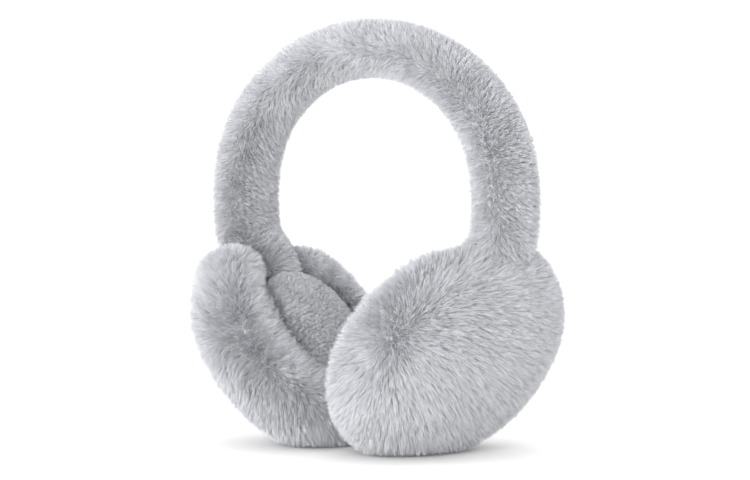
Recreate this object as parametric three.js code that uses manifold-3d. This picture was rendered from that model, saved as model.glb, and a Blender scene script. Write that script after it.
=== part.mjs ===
// Fur earmuffs: a fur-covered headband arch with a deep-fur cup at each end and a
// short-pile ear pad seated inside each cup. They stand on the two cups, whose fur is
// pressed flat there. X runs from the left cup to the right one, Y from front to back,
// and Z up from the surface. The origin is on that surface, under the middle of it all.
import * as THREE from "three";
import { mergeVertices } from "three/addons/utils/BufferGeometryUtils.js";
import Module from "manifold-3d";

const wasm = await Module();
wasm.setup();

const { degToRad, lerp, clamp } = THREE.MathUtils;

// Open space left between two pieces that touch, in millimetres
const SEAT_GAP = 0.4;

// Headband, in millimetres: a flattened tube of fur along an arch and two legs
const ARCH_HALF_WIDTH = 93; // middle plane to the tube's centreline, at the widest
const ARCH_RISE = 77.5; // from there up to the centreline's top
const ARCH_WIDEST_HEIGHT = 140.5; // of the widest point above the surface
const LEG_DROP = 20; // from the widest point down to where a leg turns towards its cup
const LEG_INSET = 3.5; // how far a leg has come inward there
const BAND_THICKNESS = 35; // fur tip to fur tip, across the head
const BAND_WIDTH = 46; // fur tip to fur tip, front to back
const BAND_PILE = 4.5; // height of its locks
const BAND_SWEEP = 3; // how far a lock's tip is brushed along, towards the cups
const LEG_END_SHARE = 0.8; // section of a leg's hidden end, as a share of the full one
const LEG_TAPER = 25; // length of that narrowing

// Ear cups, in millimetres: a fur dome outside and a fur roll round the ear pad
const CUP_RADIUS = 73; // axis to fur tip, in the plane of the rim
const CUP_DOME = 42; // how far the fur tips outside bulge from that plane
const CUP_ROLL = 33; // how far the fur tips inside stand towards the head
const CUP_FULLNESS = 2; // 2 rounds the dome as an ellipse, and more is squarer
const ROLL_FULLNESS = 2.2; // the same for the inner side
const CUP_TILT = 36; // degrees that the foot of each cup leans inward
const CUP_TURN = 7; // degrees that each cup's outside is turned to the front
const CUP_CENTRE_OUT = 53; // middle plane to the cup's centre
const CUP_CENTRE_HEIGHT = 56.5;
const CUP_PILE = 6; // height of its locks
const CUP_SWEEP = 4; // how far a lock's tip is brushed along

// Ear pads, in millimetres
const PAD_RADIUS = 36;
const PAD_EDGE = 10; // thickness at the edge
const PAD_CROWN = 11; // how much thicker the middle is
const PAD_GROOVE = 4; // open groove between the pad and the roll
const POCKET_DEPTH = 27; // from the roll's fur tips down to the floor under the pad

// Where a leg of the headband sits in its cup, in millimetres
const LEG_SEAT_OUT = -7; // its centre from the rim's plane, outward
const LEG_IN_CUP = 17; // length of its straight end, down along the rim's plane
const LEG_END_CLEAR = 1.5; // from its end to the pad's edge
const CHANNEL_WIDTH = 41; // of the gap that the roll leaves for it, open to the head

// How much lower the lowest lock is, as a share of the pile
const RUFFLE = 0.3;

// Which way a cup's fur is brushed: away from the dome's middle, back to the rim on the
// roll's outer side, and into the pocket. The polar angle runs from the dome's middle.
const CUP_BRUSHING = [
  { polar: 0, sweep: 0.6 },
  { polar: 70, sweep: 1 },
  { polar: 95, sweep: 0 },
  { polar: 110, sweep: -0.7 },
  { polar: 125, sweep: 0 },
  { polar: 150, sweep: 0.8 },
  { polar: 180, sweep: 0 },
];

// Facets: locks stand one on each
const CUP_FACETING = 5; // cuts along each edge of a twenty-sided ball
const BAND_SIDES = 10;
const BAND_STEPS = 40;
const PAD_SIDES = 24;
const PAD_STEPS = 4;
const ROOM_SIDES = 48;
const FACET_SLACK = 0.3; // how far a flat facet can lie inside its round form

// Colours
const FUR_COLOUR = 0xbfc1c6;
const PAD_COLOUR = 0xc4c6cb;

// A closed geometry as a solid that can be joined and cut
function toSolid(geometry) {
  const bare = geometry.clone();
  bare.deleteAttribute("normal");
  bare.deleteAttribute("uv");
  const merged = mergeVertices(bare, 1e-3);
  const corners = merged.index.array;
  const kept = [];
  for (let i = 0; i < corners.length; i += 3) {
    const [a, b, c] = corners.slice(i, i + 3);
    if (a !== b && b !== c && c !== a) {
      kept.push(a, b, c);
    }
  }
  const vertProperties = new Float32Array(merged.attributes.position.array);
  const triVerts = new Uint32Array(kept);
  return new wasm.Manifold(new wasm.Mesh({ numProp: 3, vertProperties, triVerts }));
}

// The same solid as a geometry
function toGeometry(solid) {
  const { vertProperties, triVerts } = solid.getMesh();
  const geometry = new THREE.BufferGeometry();
  geometry.setAttribute("position", new THREE.BufferAttribute(new Float32Array(vertProperties), 3));
  geometry.setIndex(new THREE.BufferAttribute(new Uint32Array(triVerts), 1));
  geometry.computeVertexNormals();
  return geometry;
}

// The other hand of a geometry, across its own YZ plane, with its faces still outward
function mirrored(geometry) {
  const copy = geometry.clone().scale(-1, 1, 1);
  const corners = copy.index.array;
  for (let i = 0; i < corners.length; i += 3) {
    [corners[i], corners[i + 1]] = [corners[i + 1], corners[i]];
  }
  copy.computeVertexNormals();
  return copy;
}

// A shape turned round the X axis from rows of radius and x, the greatest x last
function turned(rows, sides) {
  const outline = rows.map(({ radius, x }) => new THREE.Vector2(radius, x));
  return new THREE.LatheGeometry(outline, sides).rotateZ(-Math.PI / 2);
}

// A skin of locks: each facet's corners lie in the fur, and its tip stands out of it
function lockedSkin(facets) {
  const points = [];
  for (const { corners, tip } of facets) {
    for (let i = 0; i < corners.length; i += 1) {
      points.push(corners[i], corners[(i + 1) % corners.length], tip);
    }
  }
  return toSolid(new THREE.BufferGeometry().setFromPoints(points));
}

// How high a lock stands, as a share of the pile: it varies, but is the same each time
function lockHeight(along, around) {
  return 1 - RUFFLE * (0.5 + 0.5 * Math.sin(7 * along + 5 * around) * Math.cos(11 * around));
}

// Cups and pads are turned round their own X axis, which points outward from the head.
// The rim's plane is x = 0, and Z runs up along it.
function cupPlacement(side) {
  const placement = new THREE.Group();
  placement.position.set(side * CUP_CENTRE_OUT, 0, CUP_CENTRE_HEIGHT);
  placement.rotation.set(0, side * degToRad(CUP_TILT), -side * degToRad(CUP_TURN), "ZYX");
  placement.updateMatrix();
  return placement;
}

const cupMatrix = cupPlacement(1).matrix;
const cupInverse = cupMatrix.clone().invert();
const pocketRadius = PAD_RADIUS + PAD_GROOVE;
const pocketFloor = POCKET_DEPTH - CUP_ROLL;

// Radius and x of a cup's outline at a polar angle from the dome's middle
function cupOutline(polar, inset) {
  const outside = polar < Math.PI / 2;
  const power = 2 / (outside ? CUP_FULLNESS : ROLL_FULLNESS);
  const depth = outside ? CUP_DOME - inset : inset - CUP_ROLL;
  return {
    radius: (CUP_RADIUS - inset) * Math.abs(Math.sin(polar)) ** power,
    x: depth * Math.abs(Math.cos(polar)) ** power,
  };
}

function cupPoint(polar, turn, inset) {
  const { radius, x } = cupOutline(clamp(polar, 0, Math.PI), inset);
  return new THREE.Vector3(x, -radius * Math.sin(turn), radius * Math.cos(turn));
}

function brushing(polar) {
  const degrees = THREE.MathUtils.radToDeg(polar);
  const next = CUP_BRUSHING.findIndex((row, i) => i > 0 && degrees <= row.polar + 1e-6);
  const [a, b] = CUP_BRUSHING.slice(next - 1, next + 1);
  return lerp(a.sweep, b.sweep, (degrees - a.polar) / (b.polar - a.polar));
}

// The cup's fur, with a lock on each facet of a ball that is pressed to its outline
function cupSkin() {
  const ball = new THREE.IcosahedronGeometry(1, CUP_FACETING).attributes.position;
  const facets = [];
  for (let i = 0; i < ball.count; i += 3) {
    const corners = [0, 1, 2].map((k) => new THREE.Vector3().fromBufferAttribute(ball, i + k));
    const middle = new THREE.Vector3().add(corners[0]).add(corners[1]).add(corners[2]).normalize();
    const polar = Math.acos(clamp(middle.x, -1, 1));
    const turn = Math.atan2(-middle.y, middle.z);
    const height = lockHeight(polar, turn);
    const sweep = (brushing(polar) * height * CUP_SWEEP) / CUP_RADIUS;
    facets.push({
      corners: corners.map((corner) =>
        cupPoint(Math.acos(clamp(corner.x, -1, 1)), Math.atan2(-corner.y, corner.z), CUP_PILE)),
      tip: cupPoint(polar + sweep, turn, CUP_PILE * (1 - height)),
    });
  }
  return lockedSkin(facets);
}

// The room that a cup's fur fills, turned from its outline
function cupRoom() {
  const rows = [];
  for (let i = 0; i <= ROOM_SIDES / 2; i += 1) {
    rows.push(cupOutline(Math.PI * (1 - i / (ROOM_SIDES / 2)), -SEAT_GAP - FACET_SLACK));
  }
  return turned(rows, ROOM_SIDES);
}

// The gap in the roll where a leg comes down to the pad, narrowed on each side as stated
function legChannel(narrower) {
  const depth = 2 * CUP_ROLL + LEG_SEAT_OUT;
  const channel = new THREE.BoxGeometry(depth, CHANNEL_WIDTH - 2 * narrower, 2 * CUP_RADIUS);
  return channel.translate(LEG_SEAT_OUT - narrower - depth / 2, 0, CUP_RADIUS);
}

// The right half of the headband's centreline, from beside the arch's top down to the end
// of the leg in its cup
function rightHalfOfCentreline() {
  const points = [];
  for (let i = 1; i <= 6; i += 1) {
    const turn = Math.PI / 2 - (i / 6) * (Math.PI / 2);
    const x = ARCH_HALF_WIDTH * Math.cos(turn);
    points.push(new THREE.Vector3(x, 0, ARCH_WIDEST_HEIGHT + ARCH_RISE * Math.sin(turn)));
  }
  points.push(new THREE.Vector3(ARCH_HALF_WIDTH - LEG_INSET, 0, ARCH_WIDEST_HEIGHT - LEG_DROP));
  const legEnd = PAD_RADIUS + LEG_END_CLEAR;
  for (const height of [legEnd + LEG_IN_CUP, legEnd]) {
    points.push(new THREE.Vector3(LEG_SEAT_OUT, 0, height).applyMatrix4(cupMatrix).setY(0));
  }
  return points;
}

const rightHalf = rightHalfOfCentreline();
const leftHalf = rightHalf.map((point) => new THREE.Vector3(-point.x, 0, point.z)).reverse();
const archTop = new THREE.Vector3(0, 0, ARCH_WIDEST_HEIGHT + ARCH_RISE);
const centreline = new THREE.CatmullRomCurve3([...leftHalf, archTop, ...rightHalf]);
const centrelineLength = centreline.getLength();

// A point of the headband at a share of its length and an angle round its section, as far
// inside the fur tips as stated. Past either end it runs straight on.
function bandPoint(share, angle, inset) {
  const held = clamp(share, 0, 1);
  const along = centreline.getTangentAt(held);
  const width = new THREE.Vector3(0, 1, 0);
  const thickness = new THREE.Vector3().crossVectors(width, along);
  const fromEnd = centrelineLength * Math.min(held, 1 - held);
  const taper = lerp(LEG_END_SHARE, 1, Math.min(1, fromEnd / LEG_TAPER));
  return centreline
    .getPointAt(held)
    .addScaledVector(along, (share - held) * centrelineLength)
    .addScaledVector(width, (BAND_WIDTH / 2 - inset) * taper * Math.sin(angle))
    .addScaledVector(thickness, (BAND_THICKNESS / 2 - inset) * taper * Math.cos(angle));
}

// The headband with a lock on each facet. Its rows are turned by half a facet each, alike
// on both sides of the arch's top.
function bandSkin({ inset, endInset, pile }) {
  const endShare = endInset / centrelineLength;
  const place = (step, side) => ({
    share: lerp(endShare, 1 - endShare, step / BAND_STEPS),
    angle: ((side + Math.abs(step - BAND_STEPS / 2) / 2) * 2 * Math.PI) / BAND_SIDES,
  });
  const corner = (step, side) => {
    const { share, angle } = place(step, side);
    return bandPoint(share, angle, inset);
  };
  const facets = [];
  for (let side = 0; side < BAND_SIDES; side += 1) {
    for (let step = 0; step < BAND_STEPS; step += 1) {
      const { share, angle } = place(step + 0.5, side + 0.5);
      const height = pile * lockHeight(step, angle);
      const sweep = (Math.sign(share - 0.5) * BAND_SWEEP * height) / (BAND_PILE * centrelineLength);
      facets.push({
        corners: [
          corner(step, side),
          corner(step, side + 1),
          corner(step + 1, side + 1),
          corner(step + 1, side),
        ],
        tip: bandPoint(share + sweep, angle, inset - height),
      });
    }
  }
  for (const { step, order } of [{ step: 0, order: -1 }, { step: BAND_STEPS, order: 1 }]) {
    const rim = Array.from({ length: BAND_SIDES }, (_, side) => corner(step, order * side));
    const middle = rim[0].clone().add(rim[BAND_SIDES / 2]).multiplyScalar(0.5);
    facets.push({ corners: rim, tip: middle });
  }
  return lockedSkin(facets);
}

// Everything under the surface that the earmuffs stand on
function ground() {
  const reach = 8 * CUP_RADIUS;
  return new THREE.BoxGeometry(reach, reach, reach).translate(0, 0, -reach / 2);
}

// The headband, whose locks stop where a cup's fur begins
function headbandFur() {
  const fur = bandSkin({ inset: BAND_PILE, endInset: 0, pile: BAND_PILE });
  const core = bandSkin({ inset: BAND_PILE, endInset: 0, pile: 0 });
  const room = toGeometry(toSolid(cupRoom()).subtract(toSolid(legChannel(SEAT_GAP))));
  room.applyMatrix4(cupMatrix);
  return fur
    .subtract(toSolid(room).subtract(core))
    .subtract(toSolid(mirrored(room)).subtract(core));
}

function cupFur() {
  const pocket = turned(
    [
      { radius: 0, x: -2 * CUP_ROLL },
      { radius: pocketRadius, x: -2 * CUP_ROLL },
      { radius: pocketRadius, x: pocketFloor },
      { radius: 0, x: pocketFloor },
    ],
    PAD_SIDES,
  );
  const leg = bandSkin({ inset: BAND_PILE - SEAT_GAP, endInset: -SEAT_GAP, pile: 0 });
  return cupSkin()
    .subtract(toSolid(pocket))
    .subtract(toSolid(legChannel(0)))
    .subtract(toSolid(toGeometry(leg).applyMatrix4(cupInverse)))
    .subtract(toSolid(ground().applyMatrix4(cupInverse)));
}

function earPad() {
  const back = pocketFloor - SEAT_GAP;
  const rows = [];
  for (let i = PAD_STEPS; i >= 0; i -= 1) {
    const turn = (i / PAD_STEPS) * (Math.PI / 2);
    rows.push({
      radius: PAD_RADIUS * Math.cos(turn),
      x: back - PAD_EDGE / 2 - (PAD_EDGE / 2 + PAD_CROWN) * Math.sin(turn),
    });
  }
  rows.push({ radius: PAD_RADIUS - PAD_EDGE / 4, x: back }, { radius: 0, x: back });
  return turned(rows, PAD_SIDES);
}

function finish(name, colour) {
  const material = new THREE.MeshStandardMaterial({ color: colour, roughness: 1, metalness: 0 });
  material.name = name;
  return material;
}

function piece(name, geometry, material) {
  const mesh = new THREE.Mesh(geometry, material);
  mesh.name = name;
  return mesh;
}

const earmuffs = new THREE.Group();
earmuffs.add(piece("headband_fur", toGeometry(headbandFur()), finish("band fur", FUR_COLOUR)));
const rightCup = toGeometry(cupFur());
const rightPad = toGeometry(toSolid(earPad()));
for (const { hand, side } of [{ hand: "left", side: -1 }, { hand: "right", side: 1 }]) {
  const placement = cupPlacement(side);
  const cup = side > 0 ? rightCup : mirrored(rightCup);
  const pad = side > 0 ? rightPad : mirrored(rightPad);
  placement.add(piece(`${hand}_cup_fur`, cup, finish("cup fur", FUR_COLOUR)));
  placement.add(piece(`${hand}_ear_pad`, pad, finish("pad plush", PAD_COLOUR)));
  earmuffs.add(placement);
}

// The origin lies under the middle of everything
const middle = new THREE.Box3().setFromObject(earmuffs, true).getCenter(new THREE.Vector3());
earmuffs.position.y = -middle.y;

export default earmuffs;
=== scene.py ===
"""Fur earmuffs: a coat of pile for the headband, the two cups and the two ear pads."""

import math

import bpy
import numpy as np
from bpy.props import (
    FloatProperty,
    FloatVectorProperty,
    IntProperty,
    PointerProperty,
)
from mathutils import Matrix, Vector


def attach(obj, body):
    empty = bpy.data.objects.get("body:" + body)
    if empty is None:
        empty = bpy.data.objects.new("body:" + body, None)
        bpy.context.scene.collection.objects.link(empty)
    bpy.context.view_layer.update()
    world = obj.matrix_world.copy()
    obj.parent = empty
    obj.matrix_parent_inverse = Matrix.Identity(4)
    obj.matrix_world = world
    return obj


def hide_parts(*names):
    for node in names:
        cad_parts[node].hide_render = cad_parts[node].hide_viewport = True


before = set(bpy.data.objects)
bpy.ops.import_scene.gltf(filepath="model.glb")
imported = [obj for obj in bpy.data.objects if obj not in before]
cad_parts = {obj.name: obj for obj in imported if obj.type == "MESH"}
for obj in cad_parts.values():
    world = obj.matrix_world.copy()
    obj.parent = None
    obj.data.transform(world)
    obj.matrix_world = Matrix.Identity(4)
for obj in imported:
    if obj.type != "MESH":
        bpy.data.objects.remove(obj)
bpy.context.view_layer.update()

bl_info = {
    "name": "Fur Earmuffs",
    "version": (1, 0, 0),
    "blender": (4, 5, 0),
    "location": "View3D > Sidebar > Earmuffs",
    "description": "Grows the pile of a pair of fur earmuffs on the packed model",
    "category": "Object",
}

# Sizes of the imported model, in metres and degrees

ARCH_HALF_WIDTH = 0.093
ARCH_RISE = 0.0775
ARCH_WIDEST_HEIGHT = 0.1405
LEG_DROP = 0.020
LEG_INSET = 0.0035
BAND_THICKNESS = 0.035
BAND_WIDTH = 0.046
LEG_END_SHARE = 0.8
LEG_TAPER = 0.025

CUP_RADIUS = 0.073
CUP_DOME = 0.042
CUP_ROLL = 0.033
CUP_FULLNESS = 2.0
ROLL_FULLNESS = 2.2
CUP_TILT = 36
CUP_TURN = 7
CUP_CENTRE_OUT = 0.053
CUP_CENTRE_HEIGHT = 0.0565
CUP_BACK = -0.0003

PAD_RADIUS = 0.036
PAD_EDGE = 0.010
PAD_CROWN = 0.011
PAD_GROOVE = 0.004
POCKET_DEPTH = 0.027

LEG_SEAT_OUT = -0.007
LEG_IN_CUP = 0.017
LEG_END_CLEAR = 0.0015
CHANNEL_WIDTH = 0.041

# The points of a backing: how far apart they are along it, how many stand round a cup or
# a pad and round the headband, and how many rounds wear a cup's corners round
SKIN_STEP = 0.002
RING_SIDES = 96
BAND_SIDES = 32
CUP_ROUNDING = 22

# The backing of a pocket's wall stands back by this share of the depth of the roots
WALL_SHARE = 0.8

# Over what distance the roll's backing gives way beside a leg
GAP_FADE = 0.006

# How far the fur of a leg's end laps over the edge of its pad, and how far its round end
# reaches
LEG_OVER_PAD = 0.006
LEG_END_ROUND = 0.008

# How far the fur in the groove round a pad comes up, below the pad and in front of it
GROOVE_FILL = 0.008

# The share by which the left cup's fur sinks where the leg's fur laps over it
LEFT_JOIN_SINK = 0.06

# How much further out a leg's fur stands just over its cup
LEG_FULLER = 0.0028

# The least height of a cup's backing over the floor it is pressed on
SKIN_CLEAR = 0.003

# The point on each cup's dome that its pile is brushed away from. The polar angle runs
# from the dome's middle, and the turn from its top to the front. Nearer to it than the
# whorl's size, the pile stands up.
WHORL_POLAR = 69
WHORL_TURN = 75
WHORL_SIZE = 0.018

# How strongly a cup's pile droops, and the headband's is brushed down and backwards
CUP_DROOP = 0.25
BAND_DROOP = 0.4
BAND_SWEPT = (-0.15, 0, 0.1)

# How much shorter a cup's pile is in its pocket and beside the leg
POCKET_SHORTER = 0.2
LEG_SIDE_SHORTER = 0.55

# Between which fullnesses of the leg a cup's pile gives way to it
CUP_GIVES_WAY = {
    # side: none at, all at
    -1: (0.75, 0.97),
    1: (0.50, 0.72),
}

# Where things fade in and out. The values are heights and distances, polar angles,
# fullnesses of the leg, or X in a cup's own frame.
FADES = {
    # what fades: none at, all at
    "groove filled": (-0.6, 0.5),
    "on dome": (100, 80),
    "sunk at join": (1.8, 0.9),
    "short beside leg": (2.0, 0.8),
    "dome side": (-0.014, -0.002),
    "outer side": (-0.008, 0.002),
    "over pad": (LEG_SEAT_OUT + 0.004, LEG_SEAT_OUT - 0.002),
    "away from top": (0, 0.08),
    "swept back": (0.12, 0.19),
}

# How the roll's pile is brushed: back to the rim where the share is negative, and into
# the pocket where it is positive.
ROLL_BRUSHING = (
    # polar, share
    (85, 0.0),
    (95, -0.35),
    (106, -0.25),
    (116, 0.2),
    (130, 0.75),
    (150, 0.8),
    (180, 0.0),
)

# Painted shade: how bright the backing is beside the roots that stand on it, darkened as the shade
# deep between the strands, and the height in the texture that it stays below
BACKING_PAINTED_SHADE = 0.72
BACKING_TOP = 0.025

# Where along a strand the root's painted-light tone begins to turn into its tip's, and where it
# ends
TONE_RISE = (0.05, 0.55)

# The edge of the texture that the strands keep off
TEXTURE_MARGIN = 0.03

# How fine the slow changes in the brushing are
DRIFT_SCALE = 55.0

# The least height of a strand over the floor
FLOOR_CLEAR = 0.0004

# What keeps each random value apart from the others
SALTS = {
    "own tip": 11,
    "tuft tip": 23,
    "loyalty": 31,
    "side": 41,
    "width": 43,
    "own tint": 51,
    "tuft tint": 53,
}

# Values of the shader that are the same all over
FUR_FINISH = {
    "Roughness": 0.75,
    "Specular IOR Level": 0.25,
    "Sheen Weight": 0.2,
    "Sheen Roughness": 0.6,
}
FLOOR_FINISH = {"Roughness": 0.9, "Specular IOR Level": 0.1}

# How the headband's pile and the pads' plush differ from the cups' pile
OTHER_PILES = {
    "band": {
        "length": 0.0065,
        "root_depth": 0.0060,
        "lean": 0.6,
        "density": 5.5e6,
        "root_painted_light": 1.04,
        "seed": 40,
    },
    "pad": {
        "length": 0.0042,
        "root_depth": 0.0055,
        "lean": 0.3,
        "density": 18.0e6,
        "root_painted_light": 1.1,
        "seed": 80,
    },
}

SOFTBOXES = (
    # name, times the power, place
    ("front softbox", 0.7, (0.6, -1.7, 0.3)),
    ("side softbox", 0.3, (-1.35, -1.1, 0.3)),
    ("back softbox", 0.35, (0.3, 1.75, 0.4)),
)

# Width of a softbox, and the height that it is aimed at
SOFTBOX_SIZE = 1.2
AIM_HEIGHT = 0.1

# The height of the object's middle, and the framing's shift in shares of the picture's width
MIDDLE_HEIGHT = 0.1175
SHIFT = (4.6 / 750, -7.5 / 750)


class PileSettings(bpy.types.PropertyGroup):
    """How one kind of pile grows."""

    length: FloatProperty(
        name="Length", description="Longest strand", default=0.0098, unit="LENGTH"
    )
    root_depth: FloatProperty(
        name="Root depth",
        description="From the tips of the packed model down to the roots",
        default=0.0072,
        unit="LENGTH",
    )
    density: FloatProperty(
        name="Density", description="Strands per square metre", default=5.9e6, min=0
    )
    variation: FloatProperty(
        name="Variation",
        description="How much shorter the shortest strand is",
        default=0.35,
        subtype="FACTOR",
    )
    width: FloatProperty(
        name="Width",
        description="Width of a strand at its root",
        default=0.00036,
        unit="LENGTH",
    )
    lean: FloatProperty(
        name="Lean", description="Slope of the pile the way it is brushed", default=0.65
    )
    scatter: FloatProperty(
        name="Scatter", description="Random slope of each strand", default=0.24
    )
    tuft_spacing: FloatProperty(
        name="Tuft spacing", description="Distance between tufts", default=0.0020, unit="LENGTH"
    )
    tuft_scatter: FloatProperty(
        name="Tuft scatter", description="Random slope of each tuft", default=0.22
    )
    tuft_pull: FloatProperty(
        name="Tuft pull",
        description="How far strands close up to their tuft's tip",
        default=0.55,
        subtype="FACTOR",
    )
    wander: FloatProperty(
        name="Wander", description="Slope of slow changes in the brushing", default=0.35
    )
    # Painted light: above 1 the roots are lighter than the tips, standing in for light that
    # reaches deep into the pile
    root_painted_light: FloatProperty(
        name="Root painted light", description="Brightness of the roots beside the tips", default=1.3
    )
    seed: IntProperty(name="Seed", description="Start of the random values", default=3)


class FurColours(bpy.types.PropertyGroup):
    """The colour of the pile, and how much it varies."""

    tip: FloatVectorProperty(
        name="Tip",
        description="Colour of the strands' ends",
        default=(0.635, 0.64, 0.665),
        subtype="COLOR",
        size=3,
        min=0,
        max=1,
    )
    spread: FloatProperty(
        name="Spread",
        description="How much lighter or darker single strands are",
        default=0.18,
        subtype="FACTOR",
    )


class StageSettings(bpy.types.PropertyGroup):
    """The floor, the light and the camera."""

    floor_size: FloatProperty(
        name="Floor size", description="Side of the square floor", default=40.0, unit="LENGTH"
    )
    floor_colour: FloatVectorProperty(
        name="Floor colour",
        description="Pale colour of the floor",
        default=(0.96, 0.96, 0.96),
        subtype="COLOR",
        size=3,
        min=0,
        max=1,
    )
    surround: FloatProperty(
        name="Surround", description="Strength of the even white light", default=1.2
    )
    softbox: FloatProperty(
        name="Softboxes",
        description="Power that each large lamp's own is a multiple of",
        default=47.0,
        unit="POWER",
    )
    azimuth: FloatProperty(
        name="Azimuth",
        description="Camera's angle round the object, from the front to its left",
        default=math.radians(40.56),
        subtype="ANGLE",
    )
    elevation: FloatProperty(
        name="Elevation",
        description="Camera's angle above the floor",
        default=math.radians(2.27),
        subtype="ANGLE",
    )
    distance: FloatProperty(
        name="Distance", description="Camera to the object's middle", default=1.349, unit="LENGTH"
    )
    focal_length: FloatProperty(
        name="Focal length", description="Lens, in millimetres", default=118.5
    )


class EarmuffSettings(bpy.types.PropertyGroup):
    """All settings of the earmuffs."""

    band: PointerProperty(type=PileSettings, name="Headband pile")
    cup: PointerProperty(type=PileSettings, name="Cup pile")
    pad: PointerProperty(type=PileSettings, name="Pad plush")
    colours: PointerProperty(type=FurColours, name="Colours")
    stage: PointerProperty(type=StageSettings, name="Stage")


def eased(low, high, value):
    """0 at low and before it, 1 at high and past it, and smooth between."""
    share = np.clip((value - low) / (high - low), 0, 1)
    return share * share * (3 - 2 * share)


def unit(vectors):
    """The vectors at length 1."""
    return vectors / np.maximum(np.linalg.norm(vectors, axis=-1, keepdims=True), 1e-9)


def evenly_spaced(path, spacing):
    """The same path with its points an even distance apart."""
    steps = np.linalg.norm(np.diff(path, axis=0), axis=1)
    reach = np.concatenate([[0], np.cumsum(steps)])
    wanted = np.linspace(0, reach[-1], max(2, round(reach[-1] / spacing) + 1))
    return np.stack([np.interp(wanted, reach, part) for part in path.T], axis=1)


def rounded(path, rounds):
    """The same path with its corners worn round, its two ends kept."""
    path = path.copy()
    for _ in range(rounds):
        path[1:-1] = (path[:-2] + 2 * path[1:-1] + path[2:]) / 4
    return path


def cup_placement(side):
    """From a cup's own frame, with X outward and its rim's plane at 0, to its place."""
    place = (side * CUP_CENTRE_OUT, CUP_BACK, CUP_CENTRE_HEIGHT)
    return (
        Matrix.Translation(place)
        @ Matrix.Rotation(-side * math.radians(CUP_TURN), 4, "Z")
        @ Matrix.Rotation(side * math.radians(CUP_TILT), 4, "Y")
        @ Matrix.Scale(side, 4, (1, 0, 0))
    )


def moved(points, matrix):
    """The points carried through a matrix."""
    table = np.array(matrix)
    return points @ table[:3, :3].T + table[:3, 3]


def cup_outline(polar, inset):
    """Radius and X of a cup's outline at polar angles, as far inside the tips as stated."""
    outside = polar < math.pi / 2
    power = np.where(outside, 2 / CUP_FULLNESS, 2 / ROLL_FULLNESS)
    depth = np.where(outside, CUP_DOME - inset, inset - CUP_ROLL)
    radius = (CUP_RADIUS - inset) * np.abs(np.sin(polar)) ** power
    return np.stack([radius, depth * np.abs(np.cos(polar)) ** power], axis=1)


def fullness_in_cup(points):
    """Where points lie in a cup's own frame: 0 at its middle and 1 at its tips."""
    outside = points[:, 0] > 0
    depth = np.where(outside, CUP_DOME, CUP_ROLL)
    fullness = np.where(outside, CUP_FULLNESS, ROLL_FULLNESS)
    radius = np.hypot(points[:, 1], points[:, 2]) / CUP_RADIUS
    return (radius**fullness + (np.abs(points[:, 0]) / depth) ** fullness) ** (1 / fullness)


def centreline():
    """The headband's middle from the left cup over the top to the right one."""
    turns = np.radians(90 - np.arange(1, 7) * 15)
    half = [
        (ARCH_HALF_WIDTH * math.cos(a), 0, ARCH_WIDEST_HEIGHT + ARCH_RISE * math.sin(a))
        for a in turns
    ]
    leg = ARCH_HALF_WIDTH - LEG_INSET + LEG_FULLER
    half.append((leg, 0, ARCH_WIDEST_HEIGHT - LEG_DROP))
    half.append((leg - 0.002, 0, ARCH_WIDEST_HEIGHT - LEG_DROP - 0.008))
    end = PAD_RADIUS + LEG_END_CLEAR
    for height, further in ((end + LEG_IN_CUP, LEG_FULLER), (end, 0), (end - LEG_OVER_PAD, 0)):
        seat = cup_placement(1) @ Vector((LEG_SEAT_OUT + further, 0, height))
        half.append((seat.x, 0, seat.z))
    left = [(-x, y, z) for x, y, z in reversed(half)]
    path = np.array([*left, (0, 0, ARCH_WIDEST_HEIGHT + ARCH_RISE), *half])
    return evenly_spaced(smooth_path(path), 0.003)


def smooth_path(corners):
    """A smooth path through corners, with no loops or overshoot between close ones."""
    held = np.vstack([2 * corners[0] - corners[1], corners, 2 * corners[-1] - corners[-2]])
    path = []
    for a, b, c, d in zip(held, held[1:], held[2:], held[3:]):
        first, span, last = (math.sqrt(np.linalg.norm(q - p)) for p, q in ((a, b), (b, c), (c, d)))
        leaving = ((b - a) / first - (c - a) / (first + span) + (c - b) / span) * span
        arriving = ((c - b) / span - (d - b) / (span + last) + (d - c) / last) * span
        for t in np.linspace(0, 1, 24, endpoint=False):
            cubic = (2 * b - 2 * c + leaving + arriving) * t**3
            square = (3 * c - 3 * b - 2 * leaving - arriving) * t**2
            path.append(cubic + square + leaving * t + b)
    return np.array([*path, corners[-1]])


def band_section(path):
    """Along the path: how far from its nearer end, its run and its thickness direction."""
    run = unit(np.gradient(path, axis=0))
    thickness = np.cross((0, 1, 0), run)
    steps = np.linalg.norm(np.diff(path, axis=0), axis=1)
    reach = np.concatenate([[0], np.cumsum(steps)])
    from_end = np.minimum(reach, reach[-1] - reach)
    taper = LEG_END_SHARE + (1 - LEG_END_SHARE) * np.minimum(1, from_end / LEG_TAPER)
    return from_end, run, thickness, taper


def fullness_in_band(points):
    """Where points lie in the headband: 0 at its middle, 1 at its tips and 9 past its ends."""
    path = centreline()
    _, run, thickness, taper = band_section(path)
    nearest = np.empty(len(points), int)
    for start in range(0, len(points), 2000):
        part = points[start : start + 2000, None, :] - path[None]
        nearest[start : start + 2000] = np.argmin((part[..., [0, 2]] ** 2).sum(2), axis=1)
    away = points - path[nearest]
    wide = away[:, 1] / (BAND_WIDTH / 2 * taper[nearest])
    thick = (away * thickness[nearest]).sum(1) / (BAND_THICKNESS / 2 * taper[nearest])
    past = np.abs((away * run[nearest]).sum(1)) > 0.003
    return np.where(past, 9, np.hypot(wide, thick))


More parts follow.
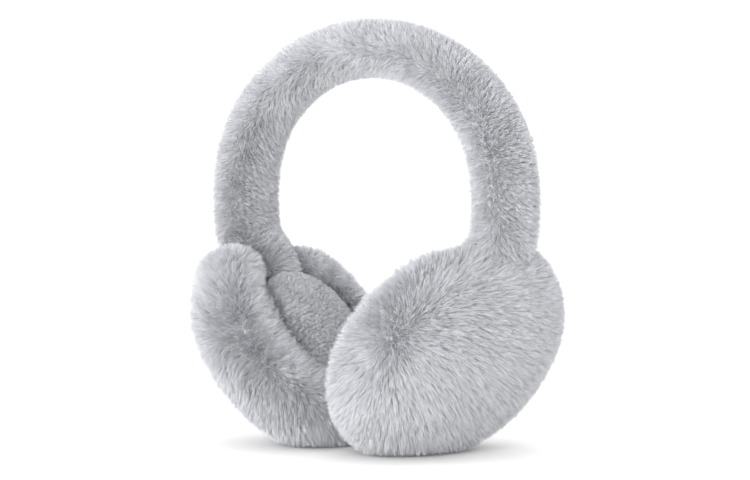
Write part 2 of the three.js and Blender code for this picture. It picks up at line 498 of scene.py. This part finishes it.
def closed_skin(name, first, rings, last):
    """A closed mesh of rings of points, with a single point at either end."""
    count, sides = rings.shape[:2]
    points = np.vstack([first[None], rings.reshape(-1, 3), last[None]])
    ring = np.arange(count * sides).reshape(count, sides) + 1
    after = np.roll(ring, -1, axis=1)
    faces = [(0, b, a) for a, b in zip(ring[0], after[0])]
    for row in range(count - 1):
        faces += zip(ring[row], after[row], after[row + 1], ring[row + 1])
    faces += [(len(points) - 1, a, b) for a, b in zip(ring[-1], after[-1])]
    mesh = bpy.data.meshes.new(name)
    mesh.from_pydata(points.tolist(), [], [tuple(map(int, face)) for face in faces])
    if enclosed_volume(mesh) < 0:
        mesh.flip_normals()
    return mesh


def enclosed_volume(mesh):
    """The volume inside a closed mesh, negative where its faces point inwards."""
    mesh.calc_loop_triangles()
    points = positions_of(mesh)
    corners = np.empty(len(mesh.loop_triangles) * 3, np.int32)
    mesh.loop_triangles.foreach_get("vertices", corners)
    a, b, c = points[corners.reshape(-1, 3)].transpose(1, 0, 2)
    return (np.cross(a, b) * c).sum() / 6


def positions_of(mesh):
    """The mesh's points as rows."""
    flat = np.empty(len(mesh.vertices) * 3, np.float32)
    mesh.vertices.foreach_get("co", flat)
    return flat.reshape(-1, 3).astype(float)


def outward_of(mesh, rounds):
    """The way out at each point, evened out with its neighbours a number of times."""
    flat = np.empty(len(mesh.vertices) * 3, np.float32)
    mesh.vertex_normals.foreach_get("vector", flat)
    out = flat.reshape(-1, 3).astype(float)
    ends = np.empty(len(mesh.edges) * 2, np.int32)
    mesh.edges.foreach_get("vertices", ends)
    a, b = ends.reshape(-1, 2).T
    for _ in range(rounds):
        total = out.copy()
        np.add.at(total, a, out[b])
        np.add.at(total, b, out[a])
        out = unit(total)
    return out


def note(mesh, name, values):
    """Keeps a number or a vector for each point of a mesh, under a name."""
    kind = "FLOAT_VECTOR" if values.ndim == 2 else "FLOAT"
    attribute = mesh.attributes.new(name, kind, "POINT")
    field = "vector" if values.ndim == 2 else "value"
    attribute.data.foreach_set(field, values.astype(np.float32).ravel())


def prepared(mesh, flow, pile, cover, rounds):
    """A skin with what the pile needs to know at each point."""
    note(mesh, "outward", outward_of(mesh, rounds))
    note(mesh, "flow", flow)
    note(mesh, "pile", pile)
    note(mesh, "cover", cover)
    return mesh


def turned_rings(profile, sides):
    """Rings round the X axis from rows of radius and X."""
    turn = np.linspace(0, 2 * math.pi, sides, endpoint=False)
    radius, x = profile[:, :1], profile[:, 1:]
    return np.stack(
        [x + 0 * turn, -radius * np.sin(turn), radius * np.cos(turn)], axis=2
    )


def along_rings(rings):
    """The way from each ring to the next at each of its points."""
    return unit(np.gradient(rings, axis=0))


def with_ends(rings_of_values, first, last):
    """One row for each point of a closed skin, its two ends included."""
    rows = rings_of_values.reshape(-1, *rings_of_values.shape[2:])
    return np.concatenate([[first], rows, [last]])


def cup_rings(wall, inset):
    """A cup's backing in its own frame: its first point, its rings and its last point."""
    floor = POCKET_DEPTH - CUP_ROLL
    polar = np.radians(np.linspace(0, 180, 241))
    outline = cup_outline(polar, inset)
    keep = (polar < math.pi / 2) | (outline[:, 0] > wall)
    corners = np.vstack([outline[keep], [wall, floor], [0, floor]])
    profile = rounded(evenly_spaced(corners, SKIN_STEP), CUP_ROUNDING)
    first, last = ([x, 0, 0] for x in profile[[0, -1], 1])
    return first, turned_rings(profile[1:-1], RING_SIDES), last


def open_leg_gap(points, wall):
    """Moves the roll's backing out of the leg's way."""
    half = CHANNEL_WIDTH / 2
    gap = 1 - eased(half, half + GAP_FADE, np.abs(points[:, 1]))
    gap = gap * eased(wall - 2 * GAP_FADE, wall - 0.002, points[:, 2])
    points[:, 0] += gap * np.maximum(0, LEG_SEAT_OUT - points[:, 0])


def fill_groove(points, radius, wall):
    """Raises the backing in the groove below a pad and in front of it."""
    forward, down = -points[:, 1] / radius, -points[:, 2] / radius
    below = eased(*FADES["groove filled"], 0.6 * forward + 0.8 * down)
    past_pad = eased(PAD_RADIUS - 0.004, PAD_RADIUS, radius)
    before_wall = eased(wall + 0.002, wall - 0.004, radius)
    inside = (points[:, 0] > LEG_SEAT_OUT - 0.012) & (points[:, 0] < 0)
    points[:, 0] -= np.where(inside, GROOVE_FILL * below * past_pad * before_wall, 0)


def cup_flow(points, rings, radius, inset):
    """The way a cup's pile is brushed, and whether each point is away from the whorl."""
    polar = np.degrees(np.arctan2(radius / CUP_RADIUS, points[:, 0] / CUP_DOME))
    on_roll = np.interp(polar, *zip(*ROLL_BRUSHING))[:, None]
    turn = math.radians(WHORL_TURN)
    height, x = cup_outline(np.radians([WHORL_POLAR]), inset)[0]
    away = points - (x, -height * math.sin(turn), height * math.cos(turn))
    from_whorl = eased(0, WHORL_SIZE, np.linalg.norm(away, axis=1))
    on_dome = from_whorl * eased(*FADES["on dome"], polar)
    flow = along_rings(rings).reshape(-1, 3) * on_roll + unit(away) * on_dome[:, None]
    return flow, from_whorl


def cup_skin(name, side, pile):
    """The backing of one cup's fur: dome, roll and the pocket for its pad."""
    inset = pile.root_depth
    wall = PAD_RADIUS + PAD_GROOVE + WALL_SHARE * inset
    first, rings, last = cup_rings(wall, inset)
    flat = rings.reshape(-1, 3)
    open_leg_gap(flat, wall)
    radius = np.hypot(flat[:, 1], flat[:, 2])
    fill_groove(flat, radius, wall)
    flow, from_whorl = cup_flow(flat, rings, radius, inset)
    in_pocket = np.where((radius < wall - 0.0005) & (flat[:, 0] < 0), 1.0, 0.0)

    matrix = cup_placement(side)
    ends = moved(np.array([first, last]), matrix)
    if side < 0:
        from_leg = fullness_in_band(moved(flat, matrix))
        flat[:, 1:] *= 1 - LEFT_JOIN_SINK * eased(*FADES["sunk at join"], from_leg)[:, None]
    placed = moved(rings, matrix)
    placed[..., 2] = np.maximum(placed[..., 2], SKIN_CLEAR)
    mesh = closed_skin(name, ends[0], placed, ends[1])

    # The pile gives way to the leg, and the pad's place has none
    from_leg = fullness_in_band(positions_of(mesh))
    clear_of_pad = eased(PAD_RADIUS - 0.001, PAD_RADIUS + 0.002, radius)
    cover = np.concatenate([[1], np.where(flat[:, 0] < 0, clear_of_pad, 1), [0]])
    cover *= eased(*CUP_GIVES_WAY[side], from_leg)
    pile_share = np.concatenate([[1], 1 - POCKET_SHORTER * in_pocket, [0]])
    dome_side = np.concatenate([[1], eased(*FADES["dome side"], flat[:, 0]), [1]])
    shortened = 1 if side < 0 else 1 - dome_side
    shortened = shortened * eased(*FADES["short beside leg"], from_leg)
    pile_share *= 1 - LEG_SIDE_SHORTER * shortened
    turn_only = matrix.to_3x3().to_4x4()
    flow = np.concatenate([[[0, 0, 0]], moved(flow, turn_only), [[0, 0, 0]]])
    flow[:, 2] -= CUP_DROOP * np.concatenate([[1], from_whorl, [1]])
    return prepared(mesh, flow, pile_share, cover, 3)


def band_skin(name, pile):
    """The backing of the headband's fur, closed and rounded at both ends."""
    path = centreline()
    from_end, run, thickness, taper = band_section(path)
    inset = pile.root_depth
    turn = np.linspace(0, 2 * math.pi, BAND_SIDES, endpoint=False)
    into_end = 1 - np.clip(from_end / LEG_END_ROUND, 0, 1)
    share = np.sqrt(np.clip(1 - into_end**2, 0, 1))[1:-1]
    wide = (BAND_WIDTH / 2 * taper[1:-1] - inset) * share
    thick = (BAND_THICKNESS / 2 * taper[1:-1] - inset) * share
    rings = (
        path[1:-1, None]
        + (wide[:, None] * np.sin(turn))[..., None] * np.array((0, 1, 0))
        + (thick[:, None] * np.cos(turn))[..., None] * thickness[1:-1, None]
    )
    rings[..., 1] += CUP_BACK
    mesh = closed_skin(name, path[0], rings, path[-1])
    points = positions_of(mesh)
    on_right = np.column_stack([np.abs(points[:, 0]), points[:, 1:]])
    local = moved(on_right, cup_placement(1).inverted())
    outer_side = eased(*FADES["outer side"], local[:, 0]) * (points[:, 0] > 0)
    in_fur = eased(0.55 + 0.33 * outer_side, 0.80 + 0.22 * outer_side, fullness_in_cup(local))
    towards_head = eased(*FADES["over pad"], local[:, 0])
    cover = np.maximum(in_fur, towards_head)
    from_top = np.sign(path[:, 0]) * eased(*FADES["away from top"], np.abs(path[:, 0]))
    downward = (from_top[:, None] * run)[1:-1, None] * np.ones((1, BAND_SIDES, 1))
    swept = np.array(BAND_SWEPT) * eased(*FADES["swept back"], rings[..., 2:])
    flow = with_ends(BAND_DROOP * downward + swept, -run[0], run[-1])
    return prepared(mesh, flow, np.ones(len(points)), cover, 2)


def pad_skin(name, side, pile):
    """The backing of one ear pad's plush: a crowned disc."""
    inset = pile.root_depth
    back = POCKET_DEPTH - CUP_ROLL - 0.0004
    turn = np.linspace(math.pi / 2, 0, 40)
    front = back - PAD_EDGE / 2
    radius = (PAD_RADIUS - inset / 2) * np.abs(np.cos(turn)) ** 0.8
    x = front - (PAD_EDGE / 2 + PAD_CROWN - inset) * np.sin(turn) ** 0.8
    edge = [PAD_RADIUS - inset / 2 - 0.002, back]
    corners = np.vstack([np.stack([radius, x], axis=1), edge, [0, back]])
    profile = rounded(evenly_spaced(corners, 0.0018), 2)
    rings = turned_rings(profile[1:-1], RING_SIDES)
    matrix = cup_placement(side)
    ends = moved(np.array([[profile[0, 1], 0, 0], [back, 0, 0]]), matrix)
    mesh = closed_skin(name, ends[0], moved(rings, matrix), ends[1])
    points = positions_of(mesh)
    local = moved(points, matrix.inverted())
    cover = eased(back - 0.0015, back - 0.004, local[:, 0])
    down = np.array(matrix.to_3x3() @ Vector((0, 0, -1)))
    return prepared(mesh, np.tile(down, (len(points), 1)), np.ones(len(points)), cover, 2)


# What the fur coat's node tree takes, and the setting of the pile that it comes from
COAT_INPUTS = (
    # name, kind of socket, name of its setting
    ("Density", "NodeSocketFloat", "density"),
    ("Length", "NodeSocketFloat", "length"),
    ("Variation", "NodeSocketFloat", "variation"),
    ("Width", "NodeSocketFloat", "width"),
    ("Lean", "NodeSocketFloat", "lean"),
    ("Scatter", "NodeSocketFloat", "scatter"),
    ("Tuft Spacing", "NodeSocketFloat", "tuft_spacing"),
    ("Tuft Scatter", "NodeSocketFloat", "tuft_scatter"),
    ("Tuft Pull", "NodeSocketFloat", "tuft_pull"),
    ("Wander", "NodeSocketFloat", "wander"),
    ("Seed", "NodeSocketInt", "seed"),
)


class Bench:
    """Places nodes in a tree and joins them."""

    def __init__(self, tree):
        self.tree = tree

    def put(self, kind, values=(), **settings):
        """A new node with its settings, and its inputs set or joined."""
        node = self.tree.nodes.new(kind)
        for name, value in settings.items():
            setattr(node, name, value)
        for socket, value in dict(values).items():
            self.feed(node.inputs[socket], value)
        return node

    def feed(self, socket, value):
        """Joins an output to a socket, or sets its value."""
        if isinstance(value, bpy.types.NodeSocket):
            self.tree.links.new(value, socket)
        else:
            socket.default_value = value

    def maths(self, operation, *values):
        """The result of a sum with numbers."""
        node = self.put("ShaderNodeMath", enumerate(values), operation=operation)
        return node.outputs[0]

    def vectors(self, operation, *values):
        """The result of a sum with vectors."""
        node = self.put("ShaderNodeVectorMath", enumerate(values), operation=operation)
        return node.outputs[0]

    def scaled(self, vector, factor):
        """A vector times a number."""
        node = self.put("ShaderNodeVectorMath", {0: vector, "Scale": factor}, operation="SCALE")
        return node.outputs[0]


class PileBench(Bench):
    """Nodes that a coat of pile is made with."""

    def kept(self, name, kind):
        """A value that the skin or the strands carry."""
        node = self.put("GeometryNodeInputNamedAttribute", {"Name": name}, data_type=kind)
        return node.outputs[0]

    def chance(self, seed, salt):
        """A random number from 0 to 1 for each point."""
        node = self.put(
            "FunctionNodeRandomValue",
            {"Seed": self.maths("ADD", seed, salt)},
            data_type="FLOAT",
        )
        return node.outputs[1]

    def jitter(self, seed, salt):
        """A random vector from -1 to 1 each way for each point."""
        node = self.put(
            "FunctionNodeRandomValue",
            {0: (-1, -1, -1), 1: (1, 1, 1), "Seed": self.maths("ADD", seed, salt)},
            data_type="FLOAT_VECTOR",
        )
        return node.outputs[0]

    def store(self, geometry, name, value, kind="FLOAT_VECTOR", domain="POINT"):
        """The geometry with one more named value."""
        node = self.put(
            "GeometryNodeStoreNamedAttribute",
            {"Geometry": geometry, "Name": name, "Value": value},
            data_type=kind,
            domain=domain,
        )
        return node.outputs[0]


def brushed_way(bench, given, place):
    """The way the pile stands at each point, before a strand's own slope."""
    outward = bench.vectors("NORMALIZE", bench.kept("outward", "FLOAT_VECTOR"))
    drift = bench.put(
        "ShaderNodeTexNoise", {"Vector": place, "Scale": DRIFT_SCALE, "Detail": 1.0}
    )
    wave = bench.vectors("SUBTRACT", drift.outputs["Color"], (0.5, 0.5, 0.5))
    brushed = bench.vectors(
        "ADD",
        bench.scaled(bench.kept("flow", "FLOAT_VECTOR"), given["Lean"]),
        bench.scaled(wave, bench.maths("MULTIPLY", given["Wander"], 2.0)),
    )
    return bench.vectors("ADD", outward, brushed)


def tip_of(bench, given, place, standing, scatter, salt):
    """Where the strand at each point ends."""
    seed = given["Seed"]
    shorter = bench.maths("MULTIPLY", given["Variation"], bench.chance(seed, salt + 1))
    longest = bench.maths("MULTIPLY", bench.kept("pile", "FLOAT"), given["Length"])
    reach = bench.maths("MULTIPLY", longest, bench.maths("SUBTRACT", 1.0, shorter))
    sloped = bench.vectors("ADD", standing, bench.scaled(bench.jitter(seed, salt), scatter))
    way = bench.vectors("NORMALIZE", sloped)
    return bench.vectors("ADD", place, bench.scaled(way, reach))


def planted_strands(bench, given, place):
    """Points on the skin that know their strand's root, tip, side and tint."""
    seed = given["Seed"]
    per_area = bench.maths("DIVIDE", 3.0, bench.maths("POWER", given["Tuft Spacing"], 2.0))
    tufts = bench.put(
        "GeometryNodeDistributePointsOnFaces",
        {
            "Mesh": given["Skin"],
            "Distance Min": given["Tuft Spacing"],
            "Density Max": per_area,
            "Seed": seed,
        },
        distribute_method="POISSON",
    ).outputs["Points"]
    covered = bench.maths("MULTIPLY", bench.kept("cover", "FLOAT"), given["Density"])
    strands = bench.put(
        "GeometryNodeDistributePointsOnFaces",
        {"Mesh": given["Skin"], "Density": covered, "Seed": seed},
        distribute_method="RANDOM",
    ).outputs["Points"]
    nearest = bench.put("GeometryNodeSampleNearest", {"Geometry": tufts, "Sample Position": place})

    def of_tuft(value, kind):
        """A value of the tuft that each strand belongs to."""
        node = bench.put(
            "GeometryNodeSampleIndex",
            {"Geometry": tufts, "Index": nearest.outputs[0]},
            data_type=kind,
        )
        bench.feed(node.inputs["Value"], value)
        return node.outputs[0]

    # Each strand closes up to the tip of the nearest tuft
    standing = brushed_way(bench, given, place)
    own_tip = tip_of(bench, given, place, standing, given["Scatter"], SALTS["own tip"])
    shared_tip = tip_of(bench, given, place, standing, given["Tuft Scatter"], SALTS["tuft tip"])
    tuft_tip = of_tuft(shared_tip, "FLOAT_VECTOR")
    loyalty = bench.maths("MULTIPLY_ADD", bench.chance(seed, SALTS["loyalty"]), 0.5, 0.5)
    pull = bench.maths("MULTIPLY", loyalty, given["Tuft Pull"])
    closing = bench.scaled(bench.vectors("SUBTRACT", tuft_tip, own_tip), pull)
    tip = bench.vectors("ADD", own_tip, closing)

    run = bench.vectors("SUBTRACT", tip, place)
    across = bench.vectors("CROSS_PRODUCT", run, bench.jitter(seed, SALTS["side"]))
    side = bench.vectors("NORMALIZE", across)
    share = bench.maths("MULTIPLY_ADD", bench.chance(seed, SALTS["width"]), 0.6, 0.7)
    width = bench.maths("MULTIPLY", given["Width"], share)
    tuft_tint = of_tuft(bench.chance(seed, SALTS["tuft tint"]), "FLOAT")
    tint = bench.maths(
        "MULTIPLY_ADD",
        bench.chance(seed, SALTS["own tint"]),
        0.5,
        bench.maths("MULTIPLY", tuft_tint, 0.5),
    )
    for name, value, kind in (
        ("strand root", place, "FLOAT_VECTOR"),
        ("strand tip", tip, "FLOAT_VECTOR"),
        ("strand side", bench.scaled(side, width), "FLOAT_VECTOR"),
        ("strand tint", tint, "FLOAT"),
    ):
        strands = bench.store(strands, name, value, kind)
    return strands


def grown_hair(bench, strands, place):
    """One slim triangle for each strand, from its root to its tip."""
    blade = bench.put(
        "GeometryNodeMeshCircle", {"Vertices": 3, "Radius": 2 / 3}, fill_type="NGON"
    ).outputs["Mesh"]
    split = bench.put("ShaderNodeSeparateXYZ", {0: place})
    blade = bench.store(blade, "along", bench.maths("ADD", split.outputs["X"], 1 / 3), "FLOAT")
    blade = bench.store(blade, "across", split.outputs["Y"], "FLOAT")
    planted = bench.put("GeometryNodeInstanceOnPoints", {"Points": strands, "Instance": blade})
    hair = bench.put("GeometryNodeRealizeInstances", {"Geometry": planted.outputs[0]}).outputs[0]

    along = bench.kept("along", "FLOAT")
    across = bench.kept("across", "FLOAT")
    root = bench.kept("strand root", "FLOAT_VECTOR")
    whole_run = bench.vectors("SUBTRACT", bench.kept("strand tip", "FLOAT_VECTOR"), root)
    middle = bench.vectors("ADD", root, bench.scaled(whole_run, along))
    sideways = bench.scaled(bench.kept("strand side", "FLOAT_VECTOR"), across)
    grown = bench.vectors("ADD", middle, sideways)
    above_floor = bench.vectors("MAXIMUM", grown, (-9, -9, FLOOR_CLEAR))
    hair = bench.put(
        "GeometryNodeSetPosition", {"Geometry": hair, "Position": above_floor}
    ).outputs[0]

    within = 1 - 2 * TEXTURE_MARGIN
    tint = bench.kept("strand tint", "FLOAT")
    u = bench.maths("MULTIPLY_ADD", tint, within, TEXTURE_MARGIN)
    u = bench.maths("MULTIPLY_ADD", across, 0.02, u)
    v = bench.maths("MULTIPLY_ADD", along, within, TEXTURE_MARGIN)
    tone = bench.put("ShaderNodeCombineXYZ", {"X": u, "Y": v}).outputs[0]
    return bench.store(hair, "OFBake", tone, "FLOAT2", "CORNER")


def toned_backing(bench, skin, place):
    """The backing, in the texture's lowest rows, below the strands' roots, where the fur tone
    gives it painted shade.
    """
    spot = bench.put("ShaderNodeSeparateXYZ", {0: place}).outputs
    u = bench.maths("MULTIPLY_ADD", spot["Z"], 0.5, 0.45)
    u = bench.maths("MULTIPLY_ADD", spot["X"], 0.8, u)
    v = bench.maths("MULTIPLY_ADD", spot["Z"], 0.02, 0.012)
    v = bench.maths("MULTIPLY_ADD", spot["Y"], 0.1, v)
    tone = bench.put("ShaderNodeCombineXYZ", {"X": u, "Y": v}).outputs[0]
    return bench.store(skin, "OFBake", tone, "FLOAT2", "CORNER")


def fur_coat_tree():
    """The node tree that grows tufted strands on a skin and gives both as one mesh."""
    tree = bpy.data.node_groups.new("fur coat", "GeometryNodeTree")
    tree.interface.new_socket("Skin", in_out="INPUT", socket_type="NodeSocketGeometry")
    for name, kind, _ in COAT_INPUTS:
        tree.interface.new_socket(name, in_out="INPUT", socket_type=kind)
    tree.interface.new_socket("Finish", in_out="INPUT", socket_type="NodeSocketMaterial")
    tree.interface.new_socket("Coat", in_out="OUTPUT", socket_type="NodeSocketGeometry")
    bench = PileBench(tree)
    given = bench.put("NodeGroupInput").outputs
    place = bench.put("GeometryNodeInputPosition").outputs[0]

    hair = grown_hair(bench, planted_strands(bench, given, place), place)
    skin = toned_backing(bench, given["Skin"], place)
    both = bench.put("GeometryNodeJoinGeometry")
    tree.links.new(hair, both.inputs[0])
    tree.links.new(skin, both.inputs[0])
    smooth = bench.put("GeometryNodeSetShadeSmooth", {"Geometry": both.outputs[0]}).outputs[0]
    whole = bench.put("GeometryNodeRealizeInstances", {"Geometry": smooth}).outputs[0]
    coat = bench.put("GeometryNodeSetMaterial", {"Geometry": whole, "Material": given["Finish"]})
    bench.put("NodeGroupOutput", {"Coat": coat.outputs[0]})
    return tree


# Named values that only the node tree needs, taken off the finished mesh
HELPERS = (
    "outward",
    "flow",
    "pile",
    "cover",
    "along",
    "across",
    "strand root",
    "strand tip",
    "strand side",
    "strand tint",
)


def coated(name, skin, pile, finish, node):
    """Grows the coat on a skin, makes it a plain mesh and lets it stand for its CAD node."""
    piece = bpy.data.objects.new(name, skin)
    bpy.context.scene.collection.objects.link(piece)
    tree = bpy.data.node_groups.get("fur coat") or fur_coat_tree()
    coat = piece.modifiers.new("fur coat", "NODES")
    coat.node_group = tree
    identifier = {
        item.name: item.identifier
        for item in tree.interface.items_tree
        if item.item_type == "SOCKET" and item.in_out == "INPUT"
    }
    for name_of_input, _, setting in COAT_INPUTS:
        coat[identifier[name_of_input]] = getattr(pile, setting)
    coat[identifier["Finish"]] = finish
    depsgraph = bpy.context.evaluated_depsgraph_get()
    grown = bpy.data.meshes.new_from_object(
        piece.evaluated_get(depsgraph), preserve_all_data_layers=True, depsgraph=depsgraph
    )
    piece.modifiers.clear()
    piece.data = grown
    for attribute in [a.name for a in grown.attributes if a.name in HELPERS]:
        grown.attributes.remove(grown.attributes[attribute])
    if not grown.polygons or grown.uv_layers.get("OFBake") is None:
        raise RuntimeError(f"no pile grew on {name}")
    grown.uv_layers["OFBake"].active_render = True
    grown.calc_loop_triangles()
    print(f"{name}: {len(grown.loop_triangles)} triangles")
    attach(piece, "root")
    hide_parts(node)
    return piece


def fur_tone_group():
    """Colour along a strand, from its root, lightened with painted light, to its tip, and of the
    backing below it, darkened with painted shade.
    """
    existing = bpy.data.node_groups.get("fur tone")
    if existing:
        return existing
    tree = bpy.data.node_groups.new("fur tone", "ShaderNodeTree")
    for name, kind in (
        ("Along", "NodeSocketFloat"),
        ("Tint", "NodeSocketFloat"),
        ("Spread", "NodeSocketFloat"),
        ("Root", "NodeSocketColor"),
        ("Tip", "NodeSocketColor"),
    ):
        tree.interface.new_socket(name, in_out="INPUT", socket_type=kind)
    tree.interface.new_socket("Colour", in_out="OUTPUT", socket_type="NodeSocketColor")
    bench = Bench(tree)
    given = bench.put("NodeGroupInput").outputs
    rise = bench.put(
        "ShaderNodeMapRange",
        {"Value": given["Along"], "From Min": TONE_RISE[0], "From Max": TONE_RISE[1]},
        interpolation_type="SMOOTHSTEP",
    ).outputs[0]
    length_tone = bench.put(
        "ShaderNodeMix", {0: rise, 6: given["Root"], 7: given["Tip"]}, data_type="RGBA"
    ).outputs[2]
    off_middle = bench.maths("SUBTRACT", given["Tint"], 0.5)
    spread = bench.maths("MULTIPLY", given["Spread"], 2.0)
    light = bench.maths("MULTIPLY_ADD", off_middle, spread, 1.0)
    # Painted shade: the backing is darker than the strands' roots, as the shade deep between the
    # strands
    on_strand = bench.maths("GREATER_THAN", given["Along"], BACKING_TOP)
    shade = bench.maths("MULTIPLY_ADD", on_strand, 1 - BACKING_PAINTED_SHADE, BACKING_PAINTED_SHADE)
    light = bench.maths("MULTIPLY", light, shade)
    bench.put("NodeGroupOutput", {"Colour": bench.scaled(length_tone, light)})
    return tree


def fur_material(name, colours, root_painted_light):
    """Soft faux fur whose strands differ a little from one another."""
    material = bpy.data.materials.new(name)
    material.use_nodes = True
    bench = Bench(material.node_tree)
    shader = material.node_tree.nodes["Principled BSDF"]
    uv = bench.put("ShaderNodeUVMap", uv_map="OFBake").outputs[0]
    split = bench.put("ShaderNodeSeparateXYZ", {0: uv})
    tone = bench.put("ShaderNodeGroup", node_tree=fur_tone_group())
    for socket, value in (
        ("Along", split.outputs["Y"]),
        ("Tint", split.outputs["X"]),
        ("Spread", colours.spread),
        # The roots are painted lighter than the tips, as painted light deep in the pile
        ("Root", (*(part * root_painted_light for part in colours.tip), 1)),
        ("Tip", (*colours.tip, 1)),
    ):
        bench.feed(tone.inputs[socket], value)
    bench.feed(shader.inputs["Base Color"], tone.outputs[0])
    for socket, value in FUR_FINISH.items():
        shader.inputs[socket].default_value = value
    return material


class GrowHeadbandPile(bpy.types.Operator):
    """Grow the short dense pile along the headband"""

    bl_idname = "earmuffs.headband_pile"
    bl_label = "Headband Pile"

    def execute(self, context):
        settings = context.scene.earmuffs
        finish = fur_material("band fur", settings.colours, settings.band.root_painted_light)
        skin = band_skin("headband_pile", settings.band)
        coated("headband_pile", skin, settings.band, finish, "headband_fur")
        return {"FINISHED"}


class GrowCupPile(bpy.types.Operator):
    """Grow the deep pile of both cups"""

    bl_idname = "earmuffs.cup_pile"
    bl_label = "Cup Pile"

    def execute(self, context):
        settings = context.scene.earmuffs
        finish = fur_material("cup fur", settings.colours, settings.cup.root_painted_light)
        for hand, side in (("left", -1), ("right", 1)):
            name = f"{hand}_cup_pile"
            skin = cup_skin(name, side, settings.cup)
            coated(name, skin, settings.cup, finish, f"{hand}_cup_fur")
        return {"FINISHED"}


class GrowPadPlush(bpy.types.Operator):
    """Grow the short plush of both ear pads"""

    bl_idname = "earmuffs.pad_plush"
    bl_label = "Ear Pad Plush"

    def execute(self, context):
        settings = context.scene.earmuffs
        finish = fur_material("pad plush", settings.colours, settings.pad.root_painted_light)
        for hand, side in (("left", -1), ("right", 1)):
            name = f"{hand}_pad_plush"
            skin = pad_skin(name, side, settings.pad)
            pad = coated(name, skin, settings.pad, finish, f"{hand}_ear_pad")
        return {"FINISHED"}


class SetUpStage(bpy.types.Operator):
    """Lay the pale floor and place the soft light and the camera"""

    bl_idname = "earmuffs.stage"
    bl_label = "Stage"

    def execute(self, context):
        stage = context.scene.earmuffs.stage
        self.lay_floor(stage)
        self.light(context.scene, stage)
        self.place_camera(context.scene, stage)
        context.scene.view_settings.view_transform = "Standard"
        return {"FINISHED"}

    def lay_floor(self, stage):
        """A plain pale floor."""
        half = stage.floor_size / 2
        mesh = bpy.data.meshes.new("floor")
        corners = [(-half, -half, 0), (half, -half, 0), (half, half, 0), (-half, half, 0)]
        mesh.from_pydata(corners, [], [(0, 1, 2, 3)])
        floor = bpy.data.objects.new("floor", mesh)
        bpy.context.scene.collection.objects.link(floor)
        material = bpy.data.materials.new("pale floor")
        material.use_nodes = True
        shader = material.node_tree.nodes["Principled BSDF"]
        shader.inputs["Base Color"].default_value = (*stage.floor_colour, 1)
        for socket, value in FLOOR_FINISH.items():
            shader.inputs[socket].default_value = value
        mesh.materials.append(material)

    def light(self, scene, stage):
        """An even white surround and large lamps ahead of the object, to its left and behind."""
        world = bpy.data.worlds.new("white surround")
        world.use_nodes = True
        background = world.node_tree.nodes["Background"]
        background.inputs["Color"].default_value = (1, 1, 1, 1)
        background.inputs["Strength"].default_value = stage.surround
        scene.world = world
        for name, share, place in SOFTBOXES:
            lamp = bpy.data.lights.new(name, "AREA")
            lamp.energy = stage.softbox * share
            lamp.shape = "DISK"
            lamp.size = SOFTBOX_SIZE
            softbox = bpy.data.objects.new(name, lamp)
            softbox.location = place
            way = Vector((0, 0, AIM_HEIGHT)) - Vector(place)
            softbox.rotation_euler = way.to_track_quat("-Z", "Y").to_euler()
            scene.collection.objects.link(softbox)

    def place_camera(self, scene, stage):
        """The photograph's viewing angle and framing."""
        camera = bpy.data.objects.new("camera", bpy.data.cameras.new("camera"))
        scene.collection.objects.link(camera)
        low = math.cos(stage.elevation)
        back = Vector(
            (
                math.sin(stage.azimuth) * low,
                -math.cos(stage.azimuth) * low,
                math.sin(stage.elevation),
            )
        )
        camera.location = Vector((0, 0, MIDDLE_HEIGHT)) + back * stage.distance
        camera.rotation_euler = (-back).to_track_quat("-Z", "Y").to_euler()
        camera.data.sensor_width = 36
        camera.data.lens = stage.focal_length
        camera.data.shift_x, camera.data.shift_y = SHIFT
        camera.data.clip_start = 0.05
        camera.data.clip_end = 50
        scene.camera = camera


class EarmuffPanel(bpy.types.Panel):
    """Lists what the earmuffs are made with."""

    bl_idname = "VIEW3D_PT_earmuffs"
    bl_label = "Fur Earmuffs"
    bl_space_type = "VIEW_3D"
    bl_region_type = "UI"
    bl_category = "Earmuffs"

    def draw(self, context):
        settings = context.scene.earmuffs
        for group in (settings.band, settings.cup, settings.pad, settings.colours, settings.stage):
            column = self.layout.box().column()
            for name in group.__annotations__:
                column.prop(group, name)
        for operator in OPERATORS:
            self.layout.operator(operator.bl_idname)


OPERATORS = (SetUpStage, GrowHeadbandPile, GrowCupPile, GrowPadPlush)
CLASSES = (PileSettings, FurColours, StageSettings, EarmuffSettings, *OPERATORS, EarmuffPanel)


def register():
    """Makes the settings, the operators and the panel known to Blender."""
    for kind in CLASSES:
        bpy.utils.register_class(kind)
    bpy.types.Scene.earmuffs = PointerProperty(type=EarmuffSettings)


def unregister():
    """Takes them away again."""
    del bpy.types.Scene.earmuffs
    for kind in reversed(CLASSES):
        bpy.utils.unregister_class(kind)


def main():
    """Builds the earmuffs and their stage."""
    register()
    settings = bpy.context.scene.earmuffs
    for kind, values in OTHER_PILES.items():
        for name, value in values.items():
            setattr(getattr(settings, kind), name, value)
    bpy.ops.earmuffs.stage()
    bpy.ops.earmuffs.headband_pile()
    bpy.ops.earmuffs.cup_pile()
    bpy.ops.earmuffs.pad_plush()


if __name__ == "__main__":
    main()
